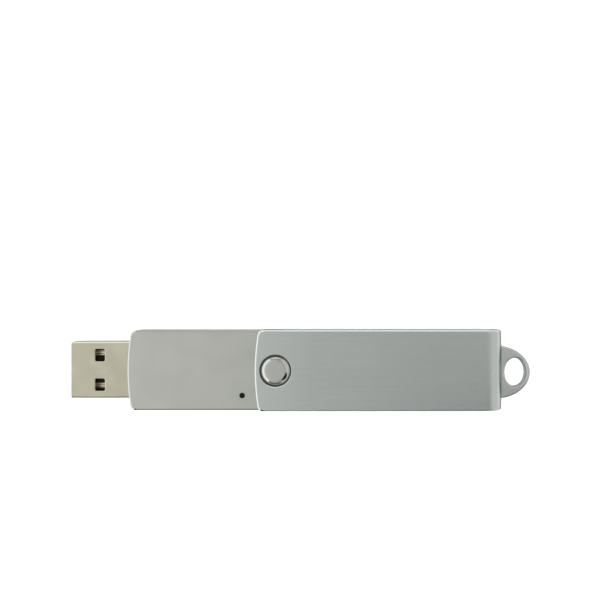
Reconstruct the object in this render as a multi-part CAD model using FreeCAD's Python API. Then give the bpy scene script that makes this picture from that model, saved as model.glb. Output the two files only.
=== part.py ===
import FreeCAD, Part

# USB flash drive whose body swings in a folded metal cover, in millimetres.
#
# The origin is where the swivel axis meets the outside of the cover's back plate. +X runs along the cover
# to its fold and key loop, and +Z points out of the front face. The drive body is modelled swung out, with
# its plug pointing along -X. It turns about the Z axis.
#
# From the back (z = 0) to the front: back plate, back washer, drive body, front washer, front plate.

import math
import os

from FreeCAD import Vector

# Cover: one strip of sheet folded into a U.
SHEET = 0.8
COVER_WIDTH = 17.0
COVER_THICKNESS = 8.0
COVER_OPEN_END_X = -4.4
COVER_FOLD_X = 48.2
COVER_CORNER = 1.2

# Rounding of the cover's and the body's rims. The bevels below cut a flat through it.
RIM_FILLET = 0.45

# Ends of the cover and of the body: shallow convex arcs in plan, with a polished bevel.
END_BOW_RADIUS = 47.0
BEVEL_WIDTH = 0.38
BEVEL_DEPTH = 0.25
BEVEL_RUN_OUT = 1.2
BEVEL_RUN_OUT_RISE = 0.08

# Key loop: an oval lug that comes through a slot in the fold.
LOOP_THICKNESS = 2.0
LOOP_CENTRE = (47.0, -0.6)
LOOP_LENGTH_RADIUS = 7.3
LOOP_WIDTH_RADIUS = 5.7
LOOP_FILLET = 0.4
KEY_HOLE_CENTRE_X = 51.1
KEY_HOLE_LENGTH_RADIUS = 2.27
KEY_HOLE_WIDTH_RADIUS = 3.03
KEY_HOLE_FILLET = 0.35
LOOP_FOOT_X = (45.9, 46.6)
LOOP_FOOT_WIDTH = 12.6
LOOP_FOOT_HEIGHT = 2.8

# Drive body.
BODY_WIDTH = 16.8
BODY_THICKNESS = 6.0
BODY_PLUG_END_X = -31.2
BODY_PIVOT_END_X = 4.2
PLUG_END_CORNER = 1.2
PIVOT_END_CORNER = 3.0
WALL = 0.6

# Pivot.
COVER_HOLE_RADIUS = 3.35
COVER_HOLE_CHAMFER = 0.12
JOURNAL_RADIUS = 3.3
CAP_RADIUS = 3.0
CAP_FLAT_RADIUS = 1.9
CAP_EDGE_DROP = 0.45
CAP_STEP_DEPTH = 0.5
CAP_SPIGOT_RADIUS = 1.0
CAP_SPIGOT_LENGTH = 1.6
HUB_RADIUS = 2.2
HUB_COLLAR_RADIUS = 2.8
HUB_BORE_RADIUS = 1.54
HUB_BORE_DEPTH = 1.9
STUD_RADIUS = 1.5
STUD_LENGTH = 1.8
STUD_CHAMFER = 0.3
WASHER_THICKNESS = 0.15
WASHER_RADIUS = 4.1
FRONT_WASHER_BORE = 3.5
BACK_WASHER_BORE = 2.4

# USB-A plug.
PLUG_WIDTH = 12.0
PLUG_HEIGHT = 4.5
PLUG_EXPOSED = 12.0
PLUG_BEHIND_FACE = 4.2
PLUG_SHEET = 0.3
PLUG_CORNER = 0.6
PLUG_MOUTH_FILLET = 0.1
WINDOW_LENGTH = 2.0
WINDOW_WIDTH = 2.5
WINDOW_FROM_TIP = 6.1
WINDOW_CENTRE_Y = 3.12
WINDOW_CORNER = 0.25
WINDOW_RIM_FILLET = 0.22
SEAM_GAP = 0.06
SEAM_LOCK_FROM_TIP = 7.6
SEAM_LOCK_LENGTH = 2.2
SEAM_LOCK_WIDTH = 2.4
LEG_LENGTH = 2.4
LEG_HEIGHT = 2.0
TONGUE_THICKNESS = 1.95
TONGUE_RECESS = 0.5
MOUTH_DEPTH = 9.0
CONTACT_WIDTH = 1.0
CONTACT_THICKNESS = 0.25
CONTACT_PROUD = 0.05
CONTACT_TIP_FILLET = 0.2
CONTACT_TAIL = 1.5
# Each contact: its place across the tongue, and how far it starts behind the tongue's tip.
CONTACTS = {
    "contact_vbus": (3.5, 0.5),
    "contact_data_minus": (1.0, 1.5),
    "contact_data_plus": (-1.0, 1.5),
    "contact_ground": (-3.5, 0.5),
}

# Inner frame and circuit board.
FRAME_WALL = 0.7
FRAME_LEDGE = 1.5
FRAME_HEIGHT = 4.0
LEDGE_HEIGHT = 0.6
BOARD_THICKNESS = 0.8
BOARD_WIDTH = 14.0
BOARD_END_X = -4.7
BOARD_GAP_TO_PLUG = 0.1
FRAME_RIB_X = (-4.6, -3.8)

# Electronics, placed on the board by the centre of each.
CHIP_STANDOFF = 0.1
FLASH_SIZE = (18.4, 12.0, 1.0)
FLASH_CENTRE = (-15.8, 0.0)
FLASH_LEADS_PER_END = 24
CONTROLLER_SIZE = (7.0, 7.0, 1.4)
CONTROLLER_CENTRE = (-14.6, 1.2)
CONTROLLER_LEADS_PER_SIDE = 12
LEAD_PITCH = 0.5
LEAD_WIDTH = 0.2
LEAD_THICKNESS = 0.12
LEAD_KNEE = 0.24
LEAD_HEEL = 0.44
LEAD_REACH = 0.8
CRYSTAL_SIZE = (5.0, 3.2, 1.3)
CRYSTAL_CENTRE = (-21.9, 4.5)
REGULATOR_SIZE = (2.9, 1.3, 1.0)
REGULATOR_CENTRE = (-22.2, -1.6)
REGULATOR_LEAD_PITCH = 0.95
REGULATOR_LEAD_WIDTH = 0.4
REGULATOR_LEAD_THICKNESS = 0.24
REGULATOR_LEAD_ROOT = 0.1  # how far a lead runs into the body
CAPACITOR_SIZE = (1.6, 0.8, 0.8)
CAPACITOR_CENTRES = (
    (-23.0, 1.4), (-23.0, -5.4), (-20.4, -5.4), (-17.8, -5.4), (-7.2, 5.6), (-7.2, 3.6),
)
RESISTOR_SIZE = (1.0, 0.5, 0.35)
RESISTOR_CENTRES = (
    (-15.4, -5.4), (-13.6, -5.4), (-11.8, -5.4), (-7.2, 1.6), (-7.2, 0.2),
)
LED_SIZE = (1.6, 0.8, 0.6)
LIGHT_HOLE_CENTRE = (-7.0, -5.25)
LIGHT_HOLE_RADIUS = 0.6
LIGHT_PIPE_RECESS = 0.25
LIGHT_PIPE_FLANGE_RADIUS = 1.0
LIGHT_PIPE_FLANGE_HEIGHT = 0.6
LIGHT_PIPE_GAP = 0.15

# Levels and places that follow from the sizes above.
FACE_Z = COVER_THICKNESS
MIDDLE_Z = COVER_THICKNESS / 2
BODY_BACK_Z = MIDDLE_Z - BODY_THICKNESS / 2
BODY_FRONT_Z = MIDDLE_Z + BODY_THICKNESS / 2
CAVITY_BACK_Z = BODY_BACK_Z + WALL
CAVITY_FRONT_Z = BODY_FRONT_Z - WALL
FOLD_RADIUS = COVER_THICKNESS / 2
FOLD_CENTRE_X = COVER_FOLD_X - FOLD_RADIUS
PLUG_TIP_X = BODY_PLUG_END_X - PLUG_EXPOSED
PLUG_REAR_X = BODY_PLUG_END_X + PLUG_BEHIND_FACE
PLUG_BACK_Z = MIDDLE_Z - PLUG_HEIGHT / 2
TONGUE_TOP_Z = PLUG_BACK_Z + PLUG_SHEET + TONGUE_THICKNESS
TONGUE_TIP_X = PLUG_TIP_X + TONGUE_RECESS
CONTACT_BACK_Z = TONGUE_TOP_Z + CONTACT_PROUD - CONTACT_THICKNESS
BOARD_TOP_Z = CONTACT_BACK_Z
BOARD_BACK_Z = BOARD_TOP_Z - BOARD_THICKNESS
BOARD_START_X = PLUG_REAR_X + BOARD_GAP_TO_PLUG

UP = Vector(0, 0, 1)
EPS = 1e-4
SIZE_MATCH = 0.01  # how closely an edge's length tells which edge it is
CLEAR = 1.0  # how far a cutting tool runs past what it cuts


def block(x_range, y_range, z_range):
    """A box between two values on each axis."""
    size = [high - low for low, high in (x_range, y_range, z_range)]
    return Part.makeBox(*size, Vector(x_range[0], y_range[0], z_range[0]))


def centred_block(centre, size, z_low):
    """A box of the given size, centred in plan and standing on z_low."""
    x, y = centre
    length, width, height = size
    return block((x - length / 2, x + length / 2), (y - width / 2, y + width / 2), (z_low, z_low + height))


def disc(radius, z_low, z_high, centre=(0, 0)):
    return Part.makeCylinder(radius, z_high - z_low, Vector(centre[0], centre[1], z_low))


def oval_prism(centre, length_radius, width_radius, z_low, z_high):
    """An upright elliptical prism. Part.Ellipse takes the longer radius first, whichever axis it is on."""
    longer, shorter = max(length_radius, width_radius), min(length_radius, width_radius)
    prism = Part.Face(Part.Wire(Part.Ellipse(Vector(), longer, shorter).toShape())).extrude(
        UP * (z_high - z_low)
    )
    if width_radius > length_radius:
        prism.rotate(Vector(), UP, 90)
    prism.translate(Vector(centre[0], centre[1], z_low))
    return prism


def turned(profile):
    """A solid of revolution about the swivel axis, from (radius, z) points joined by straight lines."""
    points = [Vector(radius, 0, z) for radius, z in profile]
    return Part.Face(Part.makePolygon(points + points[:1])).revolve(Vector(), UP, 360)


def bowed_slab(x_range, width, z_range, start_corner, end_bow=None, end_corner=0.0, bow=END_BOW_RADIUS):
    """A slab whose low-x end is a convex arc in plan. Its high-x end is flat unless end_bow is given."""
    slab = block(x_range, (-width / 2, width / 2), z_range)
    slab = slab.common(disc(bow, *z_range, centre=(x_range[0] + bow, 0)))
    if end_bow:
        slab = slab.common(disc(end_bow, *z_range, centre=(x_range[1] - end_bow, 0)))
    middle = sum(x_range) / 2
    for radius, wanted in ((start_corner, lambda x: x < middle), (end_corner, lambda x: x > middle)):
        if radius:
            corners = [
                edge for edge in slab.Edges
                if edge.BoundBox.ZLength > z_range[1] - z_range[0] - EPS
                and abs(abs(edge.CenterOfMass.y) - width / 2) < EPS
                and wanted(edge.CenterOfMass.x)
            ]
            slab = slab.makeFillet(radius, corners)
    return slab


def bevel_section(z_face, side, place):
    """The bevel tool's triangular outline. place(inward, z) puts a point that far inside the edge."""
    run, drop = BEVEL_WIDTH, BEVEL_DEPTH * side
    corners = [
        place(2 * run, z_face + drop),
        place(-run, z_face - 2 * drop),
        place(-2 * run, z_face + drop),
    ]
    return Part.makePolygon(corners + corners[:1])


def bevel_ring(centre, radius, z_face, side, start, end):
    """Bevels an arc of this radius, between two angles in degrees."""
    axis = Vector(centre[0], centre[1], 0)
    outline = bevel_section(z_face, side, lambda inward, z: axis + Vector(radius - inward, 0, z))
    ring = Part.Face(outline).revolve(axis, UP, end - start)
    ring.rotate(axis, UP, start)
    return ring


def bevel_run_out(x_start, edge_y, z_face, side):
    """Carries the bevel on along a straight side, rising until it leaves the metal."""
    across = math.copysign(1, edge_y)

    def section(x, rise):
        return bevel_section(
            z_face + rise * side, side, lambda inward, z: Vector(x, edge_y - across * inward, z)
        )

    outlines = [section(x_start, 0), section(x_start + BEVEL_RUN_OUT, BEVEL_RUN_OUT_RISE)]
    return Part.makeLoft(outlines, True, True)


def end_bevel_tools(x_end, width, corner, z_face, side):
    """What is cut away for the bevel on an arc end and its corners. side is +1 front, -1 back."""
    bow_centre = x_end + END_BOW_RADIUS
    to_corner = END_BOW_RADIUS - corner
    corner_y = width / 2 - corner
    corner_x = bow_centre - math.sqrt(to_corner**2 - corner_y**2)
    half_arc = math.degrees(math.asin(corner_y / to_corner))
    return [
        bevel_ring((bow_centre, 0), END_BOW_RADIUS, z_face, side, 180 - half_arc, 180 + half_arc),
        bevel_ring((corner_x, corner_y), corner, z_face, side, 90, 180 - half_arc),
        bevel_ring((corner_x, -corner_y), corner, z_face, side, 180 + half_arc, 270),
        bevel_run_out(corner_x, width / 2, z_face, side),
        bevel_run_out(corner_x, -width / 2, z_face, side),
    ]


def lies_on_level(edge, z):
    return abs(edge.BoundBox.ZMin - z) < EPS and abs(edge.BoundBox.ZMax - z) < EPS


def plug_outline_prism(x_range, inset=0.0):
    """The plug's rounded rectangle, run along X."""
    half_width = PLUG_WIDTH / 2 - inset
    half_height = PLUG_HEIGHT / 2 - inset
    prism = block(x_range, (-half_width, half_width), (MIDDLE_Z - half_height, MIDDLE_Z + half_height))
    long_edges = [edge for edge in prism.Edges if edge.BoundBox.XLength > EPS]
    return prism.makeFillet(PLUG_CORNER - inset, long_edges)


def loop_body():
    """The lug without its key hole, which is also the shape of the slot that it fills in the fold."""
    z_low = MIDDLE_Z - LOOP_THICKNESS / 2
    lug = oval_prism(
        LOOP_CENTRE, LOOP_LENGTH_RADIUS, LOOP_WIDTH_RADIUS, z_low, z_low + LOOP_THICKNESS
    )
    rims = [edge for edge in lug.Edges if edge.BoundBox.ZLength < EPS]
    lug = lug.makeFillet(LOOP_FILLET, rims)
    beyond_foot = block(
        (LOOP_FOOT_X[1], COVER_FOLD_X + LOOP_LENGTH_RADIUS + CLEAR),
        (-COVER_WIDTH, COVER_WIDTH),
        (0, COVER_THICKNESS),
    )
    return lug.common(beyond_foot)


def make_key_loop():
    z_low, z_high = MIDDLE_Z - LOOP_THICKNESS / 2, MIDDLE_Z + LOOP_THICKNESS / 2
    hole = oval_prism(
        (KEY_HOLE_CENTRE_X, LOOP_CENTRE[1]),
        KEY_HOLE_LENGTH_RADIUS,
        KEY_HOLE_WIDTH_RADIUS,
        z_low - CLEAR,
        z_high + CLEAR,
    )
    lug = loop_body().cut(hole)
    rims = [
        edge for edge in lug.Edges
        if edge.BoundBox.ZLength < EPS
        and abs(edge.BoundBox.XLength - 2 * KEY_HOLE_LENGTH_RADIUS) < SIZE_MATCH
    ]
    lug = lug.makeFillet(KEY_HOLE_FILLET, rims)
    foot = block(
        LOOP_FOOT_X,
        (LOOP_CENTRE[1] - LOOP_FOOT_WIDTH / 2, LOOP_CENTRE[1] + LOOP_FOOT_WIDTH / 2),
        (MIDDLE_Z - LOOP_FOOT_HEIGHT / 2, MIDDLE_Z + LOOP_FOOT_HEIGHT / 2),
    )
    return lug.fuse(foot)


def make_cover_clip():
    """The strip's U-shaped section run across the width, then trimmed, rounded, bevelled and pierced."""
    inner_radius = FOLD_RADIUS - SHEET
    start_x = COVER_OPEN_END_X - CLEAR
    back_inside, front_inside = SHEET, COVER_THICKNESS - SHEET

    def at(x, z):
        return Vector(x, -COVER_WIDTH / 2, z)

    outer_skin = [
        Part.LineSegment(at(start_x, 0), at(FOLD_CENTRE_X, 0)).toShape(),
        Part.Arc(
            at(FOLD_CENTRE_X, 0), at(COVER_FOLD_X, MIDDLE_Z), at(FOLD_CENTRE_X, COVER_THICKNESS)
        ).toShape(),
        Part.LineSegment(at(FOLD_CENTRE_X, COVER_THICKNESS), at(start_x, COVER_THICKNESS)).toShape(),
    ]
    inner_skin = [
        Part.LineSegment(at(start_x, front_inside), at(FOLD_CENTRE_X, front_inside)).toShape(),
        Part.Arc(
            at(FOLD_CENTRE_X, front_inside),
            at(FOLD_CENTRE_X + inner_radius, MIDDLE_Z),
            at(FOLD_CENTRE_X, back_inside),
        ).toShape(),
        Part.LineSegment(at(FOLD_CENTRE_X, back_inside), at(start_x, back_inside)).toShape(),
    ]
    front_end = Part.LineSegment(at(start_x, COVER_THICKNESS), at(start_x, front_inside)).toShape()
    back_end = Part.LineSegment(at(start_x, back_inside), at(start_x, 0)).toShape()
    section = Part.Wire([*outer_skin, front_end, *inner_skin, back_end])
    strip = Part.Face(section).extrude(Vector(0, COVER_WIDTH, 0))
    plan = bowed_slab(
        (COVER_OPEN_END_X, COVER_FOLD_X + CLEAR),
        COVER_WIDTH,
        (-CLEAR, COVER_THICKNESS + CLEAR),
        COVER_CORNER,
    )
    clip = strip.common(plan)

    def is_outer_rim(edge):
        if lies_on_level(edge, 0) or lies_on_level(edge, COVER_THICKNESS):
            return edge.BoundBox.XMin < FOLD_CENTRE_X - CLEAR
        middle = edge.valueAt((edge.FirstParameter + edge.LastParameter) / 2)
        return middle.x > COVER_FOLD_X - EPS and abs(abs(middle.y) - COVER_WIDTH / 2) < EPS

    clip = clip.makeFillet(RIM_FILLET, [edge for edge in clip.Edges if is_outer_rim(edge)])
    for z_face, side in ((COVER_THICKNESS, 1), (0, -1)):
        clip = clip.cut(end_bevel_tools(COVER_OPEN_END_X, COVER_WIDTH, COVER_CORNER, z_face, side))
    clip = clip.cut(disc(COVER_HOLE_RADIUS, front_inside - CLEAR, COVER_THICKNESS + CLEAR))
    rim = [
        edge for edge in clip.Edges
        if lies_on_level(edge, COVER_THICKNESS)
        and abs(edge.BoundBox.XLength - 2 * COVER_HOLE_RADIUS) < SIZE_MATCH
    ]
    clip = clip.makeChamfer(COVER_HOLE_CHAMFER, rim)
    return clip.cut(loop_body())


def make_pivot_stud():
    top_z = SHEET + STUD_LENGTH
    return turned([
        (0, SHEET),
        (STUD_RADIUS, SHEET),
        (STUD_RADIUS, top_z - STUD_CHAMFER),
        (STUD_RADIUS - STUD_CHAMFER, top_z),
        (0, top_z),
    ])


def make_pivot_hub():
    bore_top_z = BODY_BACK_Z + HUB_BORE_DEPTH
    spigot_bottom_z = BODY_FRONT_Z - CAP_SPIGOT_LENGTH
    return turned([
        (0, bore_top_z),
        (HUB_BORE_RADIUS, bore_top_z),
        (HUB_BORE_RADIUS, BODY_BACK_Z),
        (HUB_RADIUS, BODY_BACK_Z),
        (HUB_RADIUS, CAVITY_BACK_Z),
        (HUB_COLLAR_RADIUS, CAVITY_BACK_Z),
        (HUB_COLLAR_RADIUS, CAVITY_FRONT_Z),
        (HUB_RADIUS, CAVITY_FRONT_Z),
        (HUB_RADIUS, BODY_FRONT_Z),
        (CAP_SPIGOT_RADIUS, BODY_FRONT_Z),
        (CAP_SPIGOT_RADIUS, spigot_bottom_z),
        (0, spigot_bottom_z),
    ])


def make_pivot_cap():
    """Polished cap: a journal that runs in the cover's hole, and a smaller disc with a rolled rim."""
    journal_top_z = FACE_Z - CAP_STEP_DEPTH
    rim_low = Vector(CAP_RADIUS, 0, FACE_Z - CAP_EDGE_DROP)
    rim_high = Vector(CAP_FLAT_RADIUS, 0, FACE_Z)
    roll_width = CAP_RADIUS - CAP_FLAT_RADIUS
    roll_radius = (roll_width**2 + CAP_EDGE_DROP**2) / (2 * CAP_EDGE_DROP)
    half_turn = math.asin(roll_width / roll_radius) / 2
    rim_middle = Vector(
        CAP_FLAT_RADIUS + roll_radius * math.sin(half_turn),
        0,
        FACE_Z - roll_radius * (1 - math.cos(half_turn)),
    )
    corners = [
        rim_high,
        Vector(0, 0, FACE_Z),
        Vector(0, 0, BODY_FRONT_Z - CAP_SPIGOT_LENGTH),
        Vector(CAP_SPIGOT_RADIUS, 0, BODY_FRONT_Z - CAP_SPIGOT_LENGTH),
        Vector(CAP_SPIGOT_RADIUS, 0, BODY_FRONT_Z),
        Vector(JOURNAL_RADIUS, 0, BODY_FRONT_Z),
        Vector(JOURNAL_RADIUS, 0, journal_top_z),
        Vector(CAP_RADIUS, 0, journal_top_z),
        rim_low,
    ]
    rolled_rim = Part.Arc(rim_low, rim_middle, rim_high).toShape()
    outline = Part.Wire([*Part.makePolygon(corners).Edges, rolled_rim])
    return Part.Face(outline).revolve(Vector(), UP, 360)


def make_washer(bore, z_low):
    return disc(WASHER_RADIUS, z_low, z_low + WASHER_THICKNESS).cut(
        disc(bore, z_low - CLEAR, z_low + CLEAR)
    )


def body_slab(inset, z_range):
    """The body's plan, inset on all sides."""
    return bowed_slab(
        (BODY_PLUG_END_X + inset, BODY_PIVOT_END_X - inset),
        BODY_WIDTH - 2 * inset,
        z_range,
        PLUG_END_CORNER - min(inset, PLUG_END_CORNER / 2),
        END_BOW_RADIUS - inset,
        PIVOT_END_CORNER - inset,
        END_BOW_RADIUS - inset,
    )


def make_case():
    """Both case shells. They part at mid thickness, and the plug leaves through their free end."""
    case = body_slab(0, (BODY_BACK_Z, BODY_FRONT_Z))
    rims = [
        edge for edge in case.Edges
        if lies_on_level(edge, BODY_BACK_Z) or lies_on_level(edge, BODY_FRONT_Z)
    ]
    case = case.makeFillet(RIM_FILLET, rims)
    for z_face, side in ((BODY_FRONT_Z, 1), (BODY_BACK_Z, -1)):
        case = case.cut(end_bevel_tools(BODY_PLUG_END_X, BODY_WIDTH, PLUG_END_CORNER, z_face, side))
    case = case.cut(body_slab(WALL, (CAVITY_BACK_Z, CAVITY_FRONT_Z)))
    case = case.cut(plug_outline_prism((PLUG_TIP_X, PLUG_REAR_X)))
    case = case.cut(disc(HUB_RADIUS, BODY_BACK_Z - CLEAR, BODY_FRONT_Z + CLEAR))
    case = case.cut(disc(LIGHT_HOLE_RADIUS, MIDDLE_Z, BODY_FRONT_Z + CLEAR, LIGHT_HOLE_CENTRE))
    reach = (BODY_PLUG_END_X - CLEAR, BODY_PIVOT_END_X + CLEAR)
    across = (-BODY_WIDTH, BODY_WIDTH)
    front = case.common(block(reach, across, (MIDDLE_Z, BODY_FRONT_Z + CLEAR)))
    back = case.common(block(reach, across, (BODY_BACK_Z - CLEAR, MIDDLE_Z)))
    return front, back


def make_inner_frame():
    """Plastic ring that both case shells close on, with a ledge under the board and a rib at the hub."""
    z_range = (MIDDLE_Z - FRAME_HEIGHT / 2, MIDDLE_Z + FRAME_HEIGHT / 2)
    tall = (z_range[0] - CLEAR, z_range[1] + CLEAR)
    outer = body_slab(WALL, z_range)
    ring = outer.cut(body_slab(WALL + FRAME_WALL, tall))
    ledge_z = (BOARD_BACK_Z - LEDGE_HEIGHT, BOARD_BACK_Z)
    ledge = body_slab(WALL, ledge_z).cut(body_slab(WALL + FRAME_LEDGE, tall))
    ledge = ledge.common(block((BODY_PLUG_END_X, FRAME_RIB_X[1]), (-BODY_WIDTH, BODY_WIDTH), tall))
    rib = outer.common(block(FRAME_RIB_X, (-BODY_WIDTH, BODY_WIDTH), tall))
    frame = ring.fuse([ledge, rib])
    plug_space = block(
        (BODY_PLUG_END_X, BOARD_START_X),
        (-PLUG_WIDTH / 2, PLUG_WIDTH / 2),
        (MIDDLE_Z - PLUG_HEIGHT / 2, MIDDLE_Z + PLUG_HEIGHT / 2),
    )
    return frame.cut(plug_space).removeSplitter()


def leg_ranges(side):
    """Where one of the plug's two soldered legs stands, on side +1 or -1, as x, y and z ranges."""
    outer_y, inner_y = side * PLUG_WIDTH / 2, side * (PLUG_WIDTH / 2 - PLUG_SHEET)
    return (
        (PLUG_REAR_X, PLUG_REAR_X + LEG_LENGTH),
        (min(outer_y, inner_y), max(outer_y, inner_y)),
        (MIDDLE_Z - LEG_HEIGHT / 2, MIDDLE_Z + LEG_HEIGHT / 2),
    )


def window_tool(side, z_range):
    x = PLUG_TIP_X + WINDOW_FROM_TIP
    y = side * WINDOW_CENTRE_Y
    tool = block(
        (x - WINDOW_LENGTH / 2, x + WINDOW_LENGTH / 2),
        (y - WINDOW_WIDTH / 2, y + WINDOW_WIDTH / 2),
        z_range,
    )
    corners = [edge for edge in tool.Edges if edge.BoundBox.ZLength > EPS]
    return tool.makeFillet(WINDOW_CORNER, corners)


def seam_tool():
    """A thin slit along the middle of the plug's back, with one square interlock, through the sheet."""
    lock_start = PLUG_TIP_X + SEAM_LOCK_FROM_TIP
    lock_end = lock_start + SEAM_LOCK_LENGTH
    z_range = (PLUG_BACK_Z - CLEAR, PLUG_BACK_Z + PLUG_SHEET + EPS)
    half = SEAM_GAP / 2
    lock_y = SEAM_LOCK_WIDTH / 2
    runs = [
        ((PLUG_TIP_X - CLEAR, lock_start + half), (-half, half)),
        ((lock_start - half, lock_start + half), (-half, lock_y + half)),
        ((lock_start - half, lock_end + half), (lock_y - half, lock_y + half)),
        ((lock_end - half, lock_end + half), (-half, lock_y + half)),
        ((lock_end - half, PLUG_REAR_X + CLEAR), (-half, half)),
    ]
    slits = [block(x_range, y_range, z_range) for x_range, y_range in runs]
    return slits[0].fuse(slits[1:])


def make_plug_shell():
    shell = plug_outline_prism((PLUG_TIP_X, PLUG_REAR_X))
    shell = shell.cut(plug_outline_prism((PLUG_TIP_X - CLEAR, PLUG_REAR_X + CLEAR), PLUG_SHEET))
    mouth = [
        edge for edge in shell.Edges
        if edge.BoundBox.XMax < PLUG_TIP_X + EPS
        and (edge.BoundBox.YLength > PLUG_WIDTH - 2 * PLUG_CORNER - EPS
             or abs(edge.CenterOfMass.y) > PLUG_WIDTH / 2 - PLUG_SHEET / 2)
    ]
    shell = shell.makeFillet(PLUG_MOUTH_FILLET, mouth)
    front_z = PLUG_BACK_Z + PLUG_HEIGHT
    for side in (1, -1):
        shell = shell.cut(window_tool(side, (MIDDLE_Z, front_z + CLEAR)))
        shell = shell.cut(window_tool(side, (PLUG_BACK_Z - CLEAR, PLUG_BACK_Z + PLUG_SHEET + EPS)))
    window_x = PLUG_TIP_X + WINDOW_FROM_TIP
    rims = [
        edge for edge in shell.Edges
        if (lies_on_level(edge, front_z) or lies_on_level(edge, PLUG_BACK_Z))
        and abs(edge.CenterOfMass.x - window_x) < WINDOW_LENGTH
        and abs(edge.CenterOfMass.y) < WINDOW_CENTRE_Y + WINDOW_WIDTH
        and edge.Length < WINDOW_WIDTH
    ]
    shell = shell.makeFillet(WINDOW_RIM_FILLET, rims)
    shell = shell.cut(seam_tool())
    return shell.fuse([block(*leg_ranges(side)) for side in (1, -1)])


def contact_ranges(y, start):
    return (
        (TONGUE_TIP_X + start, PLUG_REAR_X + CONTACT_TAIL),
        (y - CONTACT_WIDTH / 2, y + CONTACT_WIDTH / 2),
        (CONTACT_BACK_Z, CONTACT_BACK_Z + CONTACT_THICKNESS),
    )


def make_contact(y, start):
    """A straight spring strip, its tip rounded down into the tongue, its tail on the board."""
    strip = block(*contact_ranges(y, start))
    tip = [
        edge for edge in strip.Edges
        if edge.BoundBox.XMax < TONGUE_TIP_X + start + EPS
        and lies_on_level(edge, CONTACT_BACK_Z + CONTACT_THICKNESS)
    ]
    return strip.makeFillet(CONTACT_TIP_FILLET, tip)


def make_plug_insulator():
    """The tongue and the block that closes the plug behind it, grooved for the contacts."""
    half_width = PLUG_WIDTH / 2 - PLUG_SHEET
    back_z = PLUG_BACK_Z + PLUG_SHEET
    tongue = block((TONGUE_TIP_X, PLUG_REAR_X), (-half_width, half_width), (back_z, TONGUE_TOP_Z))
    rear = block(
        (PLUG_TIP_X + MOUTH_DEPTH, PLUG_REAR_X),
        (-half_width, half_width),
        (back_z, PLUG_BACK_Z + PLUG_HEIGHT - PLUG_SHEET),
    )
    fill = plug_outline_prism((PLUG_TIP_X, PLUG_REAR_X), PLUG_SHEET)
    insulator = tongue.fuse(rear).common(fill).removeSplitter()
    for y, start in CONTACTS.values():
        insulator = insulator.cut(make_contact(y, start))
    return insulator


def make_circuit_board():
    board = block(
        (BOARD_START_X, BOARD_END_X), (-BOARD_WIDTH / 2, BOARD_WIDTH / 2), (BOARD_BACK_Z, BOARD_TOP_Z)
    )
    for side in (1, -1):
        board = board.cut(block(*leg_ranges(side)))
    return board


def gull_wing(width_at, outward, body_half, centre, z_body, z_board):
    """One lead: out of the chip's side at z_body, bent to lie on the board at z_board."""
    away = math.copysign(LEAD_THICKNESS, z_body - z_board)
    near, far = z_body - away / 2, z_body + away / 2
    profile = [
        (0, near), (LEAD_KNEE, near), (LEAD_HEEL, z_board), (LEAD_REACH, z_board),
        (LEAD_REACH, z_board + away), (LEAD_HEEL + LEAD_THICKNESS, z_board + away),
        (LEAD_KNEE + LEAD_THICKNESS / 2, far), (0, far),
    ]
    points = [Vector(body_half + out, -LEAD_WIDTH / 2, z) for out, z in profile]
    lead = Part.Face(Part.makePolygon(points + points[:1])).extrude(Vector(0, LEAD_WIDTH, 0))
    lead.translate(Vector(0, width_at, 0))
    lead.rotate(Vector(), UP, outward)
    lead.translate(Vector(centre[0], centre[1], 0))
    return lead


def make_leads(size, centre, count, directions, z_body, z_board):
    """Rows of leads round a chip, one row for each outward direction in degrees."""
    leads = []
    for outward in directions:
        along_x = outward % 180 == 0
        body_half = (size[0] if along_x else size[1]) / 2
        for index in range(count):
            width_at = (index - (count - 1) / 2) * LEAD_PITCH
            leads.append(gull_wing(width_at, outward, body_half, centre, z_body, z_board))
    return Part.makeCompound(leads)


def make_regulator():
    """Three-legged package: two leads on one side, one on the other, fused to the body."""
    body = centred_block(REGULATOR_CENTRE, REGULATOR_SIZE, BOARD_TOP_Z + CHIP_STANDOFF)
    x, y = REGULATOR_CENTRE
    lead_size = (REGULATOR_LEAD_WIDTH, LEAD_REACH, REGULATOR_LEAD_THICKNESS)
    reach = REGULATOR_SIZE[1] / 2 + LEAD_REACH / 2 - REGULATOR_LEAD_ROOT
    places = [(x - REGULATOR_LEAD_PITCH, y - reach), (x + REGULATOR_LEAD_PITCH, y - reach), (x, y + reach)]
    return body.fuse([centred_block(place, lead_size, BOARD_TOP_Z) for place in places])


def make_light_pipe():
    """Clear rod in the body's light hole, flanged inside so that it can't fall out."""
    led_top_z = BOARD_TOP_Z + LED_SIZE[2]
    stem = disc(
        LIGHT_HOLE_RADIUS, led_top_z + LIGHT_PIPE_GAP, BODY_FRONT_Z - LIGHT_PIPE_RECESS, LIGHT_HOLE_CENTRE
    )
    flange = disc(
        LIGHT_PIPE_FLANGE_RADIUS,
        CAVITY_FRONT_Z - LIGHT_PIPE_FLANGE_HEIGHT,
        CAVITY_FRONT_Z,
        LIGHT_HOLE_CENTRE,
    )
    return stem.fuse(flange)


def on_board(size, centres):
    """Identical small parts standing on the board's front side."""
    return Part.makeCompound([centred_block(centre, size, BOARD_TOP_Z) for centre in centres])


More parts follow.
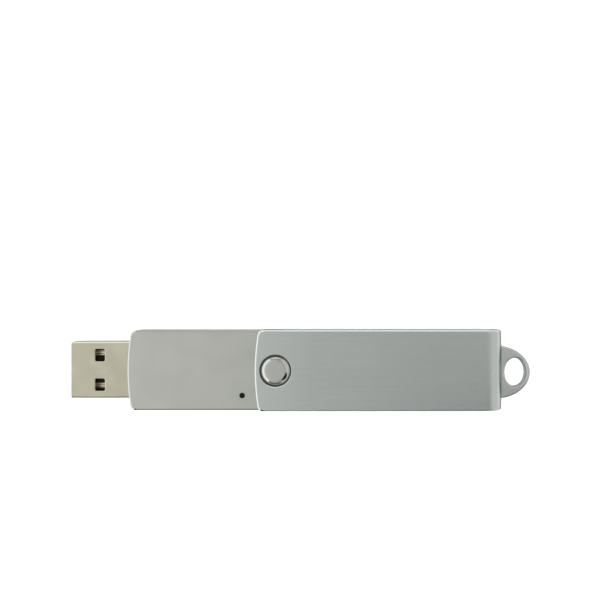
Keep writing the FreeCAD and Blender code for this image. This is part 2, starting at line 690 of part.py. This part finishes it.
def make_nodes():
    case_front, case_back = make_case()
    flash_back_z = BOARD_BACK_Z - CHIP_STANDOFF - FLASH_SIZE[2]
    controller_z = BOARD_TOP_Z + CHIP_STANDOFF
    nodes = {
        "cover_clip": make_cover_clip(),
        "key_loop": make_key_loop(),
        "pivot_stud": make_pivot_stud(),
        "pivot_hub": make_pivot_hub(),
        "pivot_cap": make_pivot_cap(),
        "front_washer": make_washer(FRONT_WASHER_BORE, BODY_FRONT_Z),
        "back_washer": make_washer(BACK_WASHER_BORE, BODY_BACK_Z - WASHER_THICKNESS),
        "case_front": case_front,
        "case_back": case_back,
        "inner_frame": make_inner_frame(),
        "plug_shell": make_plug_shell(),
        "plug_insulator": make_plug_insulator(),
        "circuit_board": make_circuit_board(),
        "flash_chip": centred_block(FLASH_CENTRE, FLASH_SIZE, flash_back_z),
        "flash_leads": make_leads(
            FLASH_SIZE, FLASH_CENTRE, FLASH_LEADS_PER_END, (0, 180),
            flash_back_z + FLASH_SIZE[2] / 2, BOARD_BACK_Z,
        ),
        "controller_chip": centred_block(CONTROLLER_CENTRE, CONTROLLER_SIZE, controller_z),
        "controller_leads": make_leads(
            CONTROLLER_SIZE, CONTROLLER_CENTRE, CONTROLLER_LEADS_PER_SIDE, (0, 90, 180, 270),
            controller_z + CONTROLLER_SIZE[2] / 2, BOARD_TOP_Z,
        ),
        "crystal_can": centred_block(CRYSTAL_CENTRE, CRYSTAL_SIZE, BOARD_TOP_Z),
        "regulator": make_regulator(),
        "status_led": centred_block(LIGHT_HOLE_CENTRE, LED_SIZE, BOARD_TOP_Z),
        "light_pipe": make_light_pipe(),
        "capacitors": on_board(CAPACITOR_SIZE, CAPACITOR_CENTRES),
        "resistors": on_board(RESISTOR_SIZE, RESISTOR_CENTRES),
    }
    for name, (y, start) in CONTACTS.items():
        nodes[name] = make_contact(y, start)
    return nodes


os.makedirs("parts", exist_ok=True)
for node, shape in make_nodes().items():
    if not shape.isValid():
        raise RuntimeError(f"{node} isn't a valid shape")
    shape.exportStep(f"parts/{node}.step")
    print(f"{node}: {len(shape.Solids)} solid(s), {shape.Volume:.2f} mm3")
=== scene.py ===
"""Looks of the swivel-cover USB flash drive: materials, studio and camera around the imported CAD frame.

Everything is in metres in the CAD's own frame: the origin is on the swivel axis at the back of the cover,
+X runs to the key loop and +Z out of the front face.
"""

import bpy
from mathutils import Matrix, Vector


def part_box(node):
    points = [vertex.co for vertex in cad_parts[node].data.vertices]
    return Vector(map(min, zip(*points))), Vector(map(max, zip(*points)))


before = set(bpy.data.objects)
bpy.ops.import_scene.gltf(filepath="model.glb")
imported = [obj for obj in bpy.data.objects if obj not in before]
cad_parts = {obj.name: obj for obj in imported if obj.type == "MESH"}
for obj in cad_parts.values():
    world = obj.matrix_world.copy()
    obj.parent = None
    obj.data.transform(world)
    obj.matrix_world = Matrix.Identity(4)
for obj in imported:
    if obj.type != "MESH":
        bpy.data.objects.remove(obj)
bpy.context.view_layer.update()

MM = 0.001
cover_low, cover_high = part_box("cover_clip")
FACE_Z = cover_high.z
MIDDLE_Z = FACE_Z / 2
HALF_WIDTH = cover_high.y
COVER_END_X = cover_low.x
FOLD_CENTRE_X = cover_high.x - MIDDLE_Z
BODY_END_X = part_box("case_front")[0].x
PLUG_TIP_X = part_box("plug_shell")[0].x
COVER_SHEET = 0.8 * MM
CAP_EDGE_DROP = 0.45 * MM  # from the cap's flat down to the foot of its rolled rim
BEVEL_FACING = 0.835  # the z part of the bevels' normals
BEVEL_REACH = 1.8 * MM  # how far along X a bevel runs, round its corners
CONTACT_PITCH = 2.5 * MM
CONTACT_FIRST = 1.0 * MM  # from the plug's middle to the nearest contact's

COVER_STEEL = (0.585, 0.625, 0.612)
CASE_METAL = (0.575, 0.59, 0.55)
FOLD_SHADE_STEEL = (0.390, 0.410, 0.385)  # painted shade: the fold's outside is painted darker, and a little warmer
LOOP_METAL = (0.66, 0.68, 0.675)
PLUG_NICKEL = (0.615, 0.595, 0.475)
CONTACT_GOLD = (0.93, 0.85, 0.64)
GRAZING_TINT = (0.25, 0.25, 0.25, 1.0)  # unpolished metal gains less brightness at a grazing angle
WALL_SHADE = 0.74  # painted shade: the side walls' metal is darkened by this factor, compared with the faces
POLISH_ROUGHNESS = 0.09


def shade(colour, factor):
    return tuple(min(1.0, part * factor) for part in colour)


class Graph:
    """A node tree, with short calls for the nodes in it."""

    def __init__(self, tree):
        self.tree = tree

    def node(self, kind, inputs=None, **attributes):
        node = self.tree.nodes.new(kind)
        for key, value in attributes.items():
            setattr(node, key, value)
        for key, value in (inputs or {}).items():
            self.put(value, node.inputs[key])
        return node

    def put(self, value, socket):
        """Links an output to the socket, or sets the socket to a plain value."""
        if isinstance(value, bpy.types.NodeSocket):
            self.tree.links.new(value, socket)
        else:
            socket.default_value = value

    def math(self, operation, first, second=0.0, third=0.0):
        inputs = {0: first, 1: second, 2: third}
        return self.node("ShaderNodeMath", inputs, operation=operation).outputs[0]

    def spread(self, value, low, high, to_low=0.0, to_high=1.0, smooth=False):
        """Maps low..high to to_low..to_high, held at the ends."""
        inputs = {0: value, 1: low, 2: high, 3: to_low, 4: to_high}
        kind = "SMOOTHSTEP" if smooth else "LINEAR"
        return self.node("ShaderNodeMapRange", inputs, interpolation_type=kind).outputs[0]

    def split(self, vector):
        return self.node("ShaderNodeSeparateXYZ", {0: vector}).outputs

    def length(self, first, second):
        """The length of a two-part vector."""
        squares = self.math("MULTIPLY_ADD", first, first, self.math("MULTIPLY", second, second))
        return self.math("SQRT", squares)


class Surface(Graph):
    """A material with a Principled shader. Its patterns lie in the part's own coordinates."""

    def __init__(self, name, **settings):
        self.material = bpy.data.materials.new(name)
        self.material.use_nodes = True
        super().__init__(self.material.node_tree)
        self.shader = self.tree.nodes["Principled BSDF"]
        self.place = self.node("ShaderNodeTexCoord").outputs["Object"]
        for socket, value in settings.items():
            self.set(socket.replace("_", " "), value)

    def set(self, socket, value):
        self.put(value, self.shader.inputs[socket])

    def noise(self, size, stretch=(1, 1, 1), detail=2.0, place=None):
        """Noise whose blobs are about size metres across, longer along an axis by its stretch."""
        scale = [1 / (size * part) for part in stretch]
        mapped = self.node("ShaderNodeMapping", {"Vector": place or self.place, "Scale": scale})
        inputs = {"Vector": mapped.outputs[0], "Scale": 1.0, "Detail": detail}
        return self.node("ShaderNodeTexNoise", inputs).outputs[0]

    def scratches(self, size, length, share, along=(1, 0, 0)):
        """Thin, sparse marks along an axis: 1 in a mark, 0 between marks."""
        stretch = tuple(length if part else 1 for part in along)
        return self.spread(self.noise(size, stretch, detail=1.0), 1 - share, 1 - share + 0.03)

    def mix(self, factor, first, second):
        """Mixes two colours."""
        node = self.node("ShaderNodeMix", data_type="RGBA")
        self.put(factor, node.inputs[0])
        for value, index in ((first, 6), (second, 7)):
            self.put((*value, 1.0) if isinstance(value, tuple) else value, node.inputs[index])
        return node.outputs[2]

    def blend(self, factor, first, second):
        """Mixes two numbers."""
        node = self.node("ShaderNodeMix", data_type="FLOAT")
        for value, index in ((factor, 0), (first, 2), (second, 3)):
            self.put(value, node.inputs[index])
        return node.outputs[0]

    def facing(self):
        """The surface normal in the part's own axes, as x, y and z outputs."""
        normal = self.node("ShaderNodeNewGeometry").outputs["Normal"]
        turned = self.node(
            "ShaderNodeVectorTransform",
            {"Vector": normal},
            vector_type="NORMAL",
            convert_from="WORLD",
            convert_to="OBJECT",
        )
        return self.split(turned.outputs[0])

    def bump(self, height, distance):
        node = self.node("ShaderNodeBump", {"Height": height, "Distance": distance})
        self.set("Normal", node.outputs[0])


def polished_bevel(surface, end_x):
    """1 on the bevel round the low-x end of a body, front and back, and 0 elsewhere."""
    tilt = surface.math("ABSOLUTE", surface.facing()[2])
    off_slope = surface.math("ABSOLUTE", surface.math("SUBTRACT", tilt, BEVEL_FACING))
    on_slope = surface.spread(off_slope, 0.035, 0.015)
    x = surface.split(surface.place)[0]
    at_end = surface.spread(x, end_x + BEVEL_REACH + 0.05 * MM, end_x + BEVEL_REACH - 0.05 * MM)
    return surface.math("MULTIPLY", on_slope, at_end)


def shade_edges(surface, colour, metal, edge_shade):
    """Painted shade: the rounded long edges and the side walls are painted darker than the faces."""
    across = surface.math("ABSOLUTE", surface.facing()[1])
    edge = surface.spread(across, 0.12, 0.45)
    wall = surface.spread(across, 0.90, 0.97)
    rounded = surface.mix(edge, colour, shade(metal, edge_shade))
    return surface.mix(wall, rounded, shade(metal, WALL_SHADE))


def brushed_cover():
    """Steel brushed along X outside, with a painted highlight that lightens it towards its open end, and
    sheared side edges.

    Inside the fold it keeps its mill finish, rougher along both edges, where a painted highlight lightens
    it.
    """
    surface = Surface("cover_steel", Metallic=1.0, Specular_Tint=GRAZING_TINT)
    fine = surface.noise(0.045 * MM, (80, 1, 1), detail=3.0)
    broad = surface.noise(0.5 * MM, (60, 1, 1), detail=2.0)
    cloud = surface.noise(8 * MM, (1.8, 1, 1), detail=3.0)
    marks = surface.scratches(0.05 * MM, 60, 0.33)
    streaks = surface.blend(0.35, fine, broad)
    streak_share = surface.spread(streaks, 0.32, 0.68)
    outside = surface.mix(streak_share, shade(COVER_STEEL, 0.90), shade(COVER_STEEL, 1.01))
    outside = surface.mix(surface.spread(cloud, 0.35, 0.65, 0.0, 0.4), outside, shade(COVER_STEEL, 0.91))
    outside_matt = surface.spread(streaks, 0.25, 0.75, 0.25, 0.35)

    x, y, z = surface.split(surface.place)
    # painted highlight: the outside is painted lighter towards the open end
    painted_end_light = surface.spread(x, COVER_END_X + 12.4 * MM, COVER_END_X + 0.4 * MM, 0.0, 0.6)
    outside = surface.mix(painted_end_light, outside, shade(COVER_STEEL, 1.08))
    past_fold = surface.math("MAXIMUM", surface.math("SUBTRACT", x, FOLD_CENTRE_X))
    depth = surface.length(past_fold, surface.math("SUBTRACT", z, MIDDLE_Z))
    skin = MIDDLE_Z - COVER_SHEET
    inside = surface.spread(depth, skin + 0.15 * MM, skin + 0.05 * MM)
    mill = surface.noise(0.12 * MM, (6, 1, 1), detail=3.0)
    mill_colour = surface.mix(mill, shade(COVER_STEEL, 0.90), shade(COVER_STEEL, 1.12))
    rubbed = surface.math("MULTIPLY", inside, marks)
    from_middle = surface.math("ABSOLUTE", y)
    at_side = surface.spread(from_middle, HALF_WIDTH - 0.40 * MM, HALF_WIDTH - 0.25 * MM)
    rough_edge_highlight = surface.math("MULTIPLY", inside, at_side)

    sheared = surface.spread(surface.math("ABSOLUTE", surface.facing()[1]), 0.90, 0.97)
    painted_fold_shade = surface.spread(x, FOLD_CENTRE_X + 1.4 * MM, FOLD_CENTRE_X + 3.0 * MM, 0.0, 0.8)
    polish = polished_bevel(surface, COVER_END_X)

    colour = surface.mix(inside, outside, mill_colour)
    # painted highlight: a lighter strip along both inner edges
    colour = surface.mix(rough_edge_highlight, colour, shade(COVER_STEEL, 1.5))
    # painted shade: the fold's outside is painted darker and a little warmer
    colour = surface.mix(painted_fold_shade, colour, FOLD_SHADE_STEEL)
    # painted shade on the cover's rounded long edges and side walls
    colour = shade_edges(surface, colour, COVER_STEEL, 0.95)
    matt = surface.blend(inside, outside_matt, surface.spread(mill, 0.3, 0.7, 0.46, 0.60))
    matt = surface.blend(rubbed, matt, 0.30)
    matt = surface.blend(rough_edge_highlight, matt, 0.85)
    matt = surface.blend(sheared, matt, 0.42)
    surface.set("Base Color", surface.mix(polish, colour, COVER_STEEL))
    surface.set("Roughness", surface.blend(polish, matt, POLISH_ROUGHNESS))
    surface.bump(surface.blend(inside, streaks, mill), 0.0009 * MM)
    return surface.material


def satin_case():
    """Fine blasted metal, parted at mid thickness, with the faint arcs that swivelling leaves."""
    surface = Surface("case_metal", Metallic=1.0, Specular_Tint=GRAZING_TINT)
    grain = surface.noise(0.035 * MM, detail=3.0)
    drawn = surface.noise(0.10 * MM, (25, 1, 1), detail=2.0)
    cloud = surface.noise(6 * MM, detail=3.0)
    x, y, z = surface.split(surface.place)
    radius = surface.length(x, y)
    around = surface.node("ShaderNodeCombineXYZ", {0: radius}).outputs[0]
    arcs = surface.spread(surface.noise(0.10 * MM, detail=2.0, place=around), 0.60, 0.66)
    near_pivot = surface.spread(radius, 13 * MM, 6 * MM, 0.0, 0.5)
    rubbed = surface.math("MULTIPLY", arcs, near_pivot)
    from_parting = surface.math("ABSOLUTE", surface.math("SUBTRACT", z, MIDDLE_Z))
    seam = surface.spread(from_parting, 0.055 * MM, 0.035 * MM)
    polish = polished_bevel(surface, BODY_END_X)
    cloudy = surface.spread(cloud, 0.35, 0.65)
    colour = surface.mix(cloudy, shade(CASE_METAL, 0.95), shade(CASE_METAL, 1.01))
    colour = surface.mix(surface.math("MULTIPLY", rubbed, 0.12), colour, shade(CASE_METAL, 1.15))
    # painted shade: a dark line along the case's rounded long edges, and darker side walls
    colour = shade_edges(surface, colour, CASE_METAL, 0.55)
    colour = surface.mix(seam, colour, shade(CASE_METAL, 0.12))
    matt = surface.spread(grain, 0.3, 0.7, 0.26, 0.33)
    matt = surface.blend(rubbed, matt, 0.24)
    surface.set("Base Color", surface.mix(polish, colour, CASE_METAL))
    surface.set("Roughness", surface.blend(polish, matt, POLISH_ROUGHNESS))
    surface.bump(surface.blend(0.25, grain, drawn), 0.0005 * MM)
    return surface.material


def plated_plug():
    """Nickel-plated sheet, with scratches from being plugged in, most of them near the tip."""
    surface = Surface("plug_nickel", Metallic=1.0, Specular_Tint=GRAZING_TINT)
    grain = surface.noise(0.05 * MM, detail=3.0)
    cloud = surface.noise(3.5 * MM, detail=3.0)
    x = surface.split(surface.place)[0]
    near_tip = surface.spread(x, PLUG_TIP_X + 10.2 * MM, PLUG_TIP_X + 2.2 * MM, 0.25, 1.0)
    marks = surface.math("MULTIPLY", near_tip, surface.scratches(0.04 * MM, 45, 0.36))
    cloudy = surface.spread(cloud, 0.35, 0.65)
    colour = surface.mix(cloudy, shade(PLUG_NICKEL, 0.90), shade(PLUG_NICKEL, 1.0))
    colour = surface.mix(surface.math("MULTIPLY", marks, 0.25), colour, shade(PLUG_NICKEL, 1.15))
    matt = surface.spread(grain, 0.3, 0.7, 0.22, 0.29)
    # painted shade on the plug's rounded long edges and side walls
    surface.set("Base Color", shade_edges(surface, colour, PLUG_NICKEL, 0.92))
    surface.set("Roughness", surface.blend(marks, matt, 0.16))
    surface.bump(grain, 0.0005 * MM)
    return surface.material


def satin_metal(name, colour, roughness):
    """Fine blasted or plated metal with no direction."""
    surface = Surface(name, Metallic=1.0, Specular_Tint=GRAZING_TINT)
    grain = surface.noise(0.05 * MM, detail=2.0)
    cloud = surface.noise(4 * MM, detail=3.0)
    surface.set("Base Color", surface.mix(surface.spread(cloud, 0.35, 0.65), shade(colour, 0.95), colour))
    surface.set("Roughness", surface.spread(grain, 0.3, 0.7, roughness * 0.85, roughness * 1.2))
    surface.bump(grain, 0.0008 * MM)
    return surface.material


def tumbled_loop():
    """Cast and tumbled metal, with painted shade that makes its rounded rims darker than its faces."""
    surface = Surface("loop_metal", Metallic=1.0, Specular_Tint=GRAZING_TINT)
    grain = surface.noise(0.08 * MM, detail=2.0)
    cloud = surface.noise(4 * MM, detail=3.0)
    rim = surface.spread(surface.math("ABSOLUTE", surface.facing()[2]), 0.97, 0.80)
    face = surface.mix(surface.spread(cloud, 0.35, 0.65), shade(LOOP_METAL, 0.95), LOOP_METAL)
    # painted shade: the rounded rims are painted darker than the faces
    surface.set("Base Color", surface.mix(rim, face, shade(LOOP_METAL, 0.60)))
    surface.set("Roughness", surface.spread(grain, 0.3, 0.7, 0.25, 0.36))
    surface.bump(grain, 0.0008 * MM)
    return surface.material


def wiped_contact():
    """Gold flash over nickel, stamped with a groove beside one edge and wiped along its length. Across
    each contact there is a painted highlight along one edge, and painted shade in the groove and on the
    far shoulder.
    """
    surface = Surface("contact_gold", Metallic=1.0)
    wiped = surface.noise(0.04 * MM, (60, 1, 1), detail=2.0)
    across = surface.math("ABSOLUTE", surface.split(surface.place)[1])
    outward = surface.math("SUBTRACT", surface.math("MODULO", across, CONTACT_PITCH), CONTACT_FIRST)
    contact_edge_highlight = surface.spread(outward, -0.28 * MM, -0.34 * MM)
    from_groove = surface.math("ABSOLUTE", surface.math("ADD", outward, 0.22 * MM))
    groove = surface.spread(from_groove, 0.09 * MM, 0.05 * MM)
    painted_shoulder_shade = surface.spread(outward, 0.10 * MM, 0.30 * MM)
    colour = surface.mix(wiped, shade(CONTACT_GOLD, 0.92), shade(CONTACT_GOLD, 1.08))
    # painted shade on the contact's far shoulder
    colour = surface.mix(painted_shoulder_shade, colour, shade(CONTACT_GOLD, 0.55))
    # painted shade in the groove
    colour = surface.mix(groove, colour, shade(CONTACT_GOLD, 0.24))
    # painted highlight along the contact's edge
    surface.set("Base Color", surface.mix(contact_edge_highlight, colour, shade(CONTACT_GOLD, 1.2)))
    surface.set("Roughness", surface.spread(wiped, 0.3, 0.7, 0.28, 0.40))
    surface.bump(surface.math("SUBTRACT", 1.0, groove), 0.03 * MM)
    return surface.material


def moulded_plastic(name, colour, roughness, gloss=0.5):
    """Plastic, resin or ceramic with a fine grain and faint clouds."""
    surface = Surface(name, Specular_IOR_Level=gloss)
    grain = surface.noise(0.06 * MM, detail=2.0)
    cloud = surface.noise(3 * MM)
    surface.set("Base Color", surface.mix(surface.spread(cloud, 0.35, 0.65), colour, shade(colour, 1.25)))
    surface.set("Roughness", surface.spread(grain, 0.3, 0.7, roughness * 0.85, roughness * 1.15))
    surface.bump(grain, 0.001 * MM)
    return surface.material


def polished_cap():
    """Turned steel: fine rings on the flat, mirror-bright on the rolled rim, dull in the running gap,
    which painted shade makes dark.
    """
    colour = (0.58, 0.59, 0.565)
    surface = Surface("polished_steel", Metallic=1.0)
    x, y, z = surface.split(surface.place)
    around = surface.node("ShaderNodeCombineXYZ", {0: surface.length(x, y)}).outputs[0]
    rings = surface.noise(0.05 * MM, detail=2.0, place=around)
    flat = surface.spread(surface.facing()[2], 0.985, 0.998)
    in_gap = surface.spread(z, FACE_Z - CAP_EDGE_DROP + 0.01 * MM, FACE_Z - CAP_EDGE_DROP - 0.02 * MM)
    turned = surface.mix(rings, shade(colour, 0.95), shade(colour, 1.01))
    # painted shade: the running gap is painted dark
    surface.set("Base Color", surface.mix(in_gap, turned, shade(colour, 0.19)))
    surface.set("Roughness", surface.blend(in_gap, surface.blend(flat, POLISH_ROUGHNESS, 0.26), 0.6))
    surface.bump(rings, 0.0004 * MM)
    return surface.material


turned_steel = satin_metal("turned_steel", (0.62, 0.62, 0.62), 0.25)
tinned_lead = satin_metal("tinned_lead", (0.72, 0.72, 0.70), 0.3)
case_metal = satin_case()
contact_gold = wiped_contact()

MATERIALS = {
    "cover_clip": brushed_cover(),
    "key_loop": tumbled_loop(),
    "pivot_stud": turned_steel,
    "pivot_hub": turned_steel,
    "pivot_cap": polished_cap(),
    "front_washer": moulded_plastic("nylon", (0.70, 0.69, 0.64), 0.45),
    "back_washer": moulded_plastic("nylon_back", (0.70, 0.69, 0.64), 0.45),
    "case_front": case_metal,
    "case_back": case_metal,
    "inner_frame": moulded_plastic("black_plastic", (0.020, 0.020, 0.021), 0.5),
    "plug_shell": plated_plug(),
    "plug_insulator": moulded_plastic("insulator_plastic", (0.012, 0.011, 0.008), 0.5, gloss=0.15),
    "circuit_board": moulded_plastic("board_green", (0.02, 0.17, 0.07), 0.3),
    "flash_chip": moulded_plastic("flash_black", (0.03, 0.03, 0.03), 0.6),
    "flash_leads": tinned_lead,
    "controller_chip": moulded_plastic("chip_black", (0.03, 0.03, 0.03), 0.6),
    "controller_leads": tinned_lead,
    "crystal_can": satin_metal("crystal_metal", (0.70, 0.70, 0.68), 0.25),
    "regulator": moulded_plastic("regulator_black", (0.03, 0.03, 0.03), 0.6),
    "status_led": moulded_plastic("led_body", (0.80, 0.78, 0.66), 0.35),
    "light_pipe": moulded_plastic("smoked_lens", (0.001, 0.001, 0.001), 0.12, gloss=0.25),
    "capacitors": moulded_plastic("ceramic_tan", (0.48, 0.36, 0.24), 0.5),
    "resistors": moulded_plastic("resistor_black", (0.04, 0.04, 0.04), 0.5),
    "contact_vbus": contact_gold,
    "contact_data_minus": contact_gold,
    "contact_data_plus": contact_gold,
    "contact_ground": contact_gold,
}

for node_name, material in MATERIALS.items():
    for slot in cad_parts[node_name].material_slots:
        slot.material = material


def make_floor():
    """White paper on a light table. It glows a little, so shadows on it nearly vanish."""
    half_side = 1.5
    mesh = bpy.data.meshes.new("floor")
    corners = [(x * half_side, y * half_side, 0.0) for x, y in ((-1, -1), (1, -1), (1, 1), (-1, 1))]
    mesh.from_pydata(corners, [], [(0, 1, 2, 3)])
    floor = bpy.data.objects.new("floor", mesh)
    bpy.context.scene.collection.objects.link(floor)
    surface = Surface("floor_paper", Roughness=0.8, Emission_Color=(1, 1, 1, 1), Emission_Strength=0.5)
    paper = surface.noise(2 * MM, detail=4.0)
    surface.set("Base Color", surface.mix(paper, (0.90, 0.90, 0.90), (0.92, 0.92, 0.92)))
    mesh.materials.append(surface.material)


def make_lamp():
    """Soft light from straight above, for the floor and the plastics. The metals don't mirror it."""
    lamp = bpy.data.lights.new("overhead", "SUN")
    lamp.energy = 1.2
    lamp.angle = 0.35
    light = bpy.data.objects.new("overhead", lamp)
    light.location = (0, 0, 1)
    light.visible_glossy = False
    bpy.context.scene.collection.objects.link(light)


def make_studio():
    """What the metals mirror: a grey ceiling, a white screen on the left and pale walls right and behind.

    A dark card hangs to the lower right. Seen directly, past the floor's edge, it is all plain white.
    x, y and z are the parts of the direction looked in.
    """
    world = bpy.data.worlds.new("studio")
    world.use_nodes = True
    graph = Graph(world.node_tree)
    x, y, z = graph.split(graph.node("ShaderNodeTexCoord").outputs["Generated"])

    def product(first, *factors):
        for factor in factors:
            first = graph.math("MULTIPLY", first, factor)
        return first

    overhead = graph.spread(z, 0.38, 0.72, smooth=True)
    brighter_left = graph.math("MULTIPLY_ADD", x, -0.50, 0.60)
    dimmer_behind = graph.spread(y, 0.34, 0.52, 1.0, 0.80, smooth=True)
    dimmer_in_front = graph.spread(y, -0.45, -0.60, 1.0, 0.70, smooth=True)
    ceiling = product(overhead, brighter_left, dimmer_behind, dimmer_in_front)

    leftward = graph.math("SUBTRACT", product(x, -1.88), graph.math("ABSOLUTE", y))
    below_ceiling = graph.spread(z, 0.86, 0.78, 0.0, 1.35, smooth=True)
    left_screen = product(graph.spread(leftward, 0.0, 0.15, smooth=True), below_ceiling)
    brighter_low = graph.spread(x, 0.30, 0.95, 0.70, 0.80)
    right_wall = product(graph.spread(x, 0.25, 0.36, smooth=True), brighter_low)
    back_wall = graph.spread(y, 0.66, 0.90, 0.0, 1.5, smooth=True)

    light = ceiling
    for panel in (left_screen, right_wall, back_wall):
        light = graph.math("MAXIMUM", light, panel)
    fill_light = 0.05
    card_x = 0.45
    card_y = -0.42
    card_radius = 0.25
    from_card = graph.length(graph.math("SUBTRACT", x, card_x), graph.math("SUBTRACT", y, card_y))
    past_card = graph.spread(from_card, card_radius - 0.02, card_radius + 0.02, smooth=True)
    mirrored = product(graph.math("ADD", light, fill_light), past_card)
    seen_directly = graph.node("ShaderNodeLightPath").outputs["Is Camera Ray"]
    strength = graph.math("MAXIMUM", mirrored, seen_directly)

    background = graph.tree.nodes["Background"]
    graph.put(strength, background.inputs["Strength"])
    graph.put((1.0, 1.0, 0.985, 1.0), background.inputs["Color"])
    bpy.context.scene.world = world


def make_camera():
    """Looks straight down from beyond the cover's +Y side, as close as a product photo is taken."""
    camera_x = 5.15 * MM
    camera_y = 14.8 * MM
    above_face = 130 * MM
    field_width = 125 * MM
    lens = bpy.data.cameras.new("camera")
    lens.sensor_width = 36.0
    lens.lens = lens.sensor_width * above_face / field_width
    lens.clip_start = 0.005
    lens.clip_end = 10.0
    camera = bpy.data.objects.new("camera", lens)
    camera.location = (camera_x, camera_y, FACE_Z + above_face)
    bpy.context.scene.collection.objects.link(camera)
    bpy.context.scene.camera = camera


make_floor()
make_lamp()
make_studio()
make_camera()
bpy.context.scene.view_settings.view_transform = "Standard"
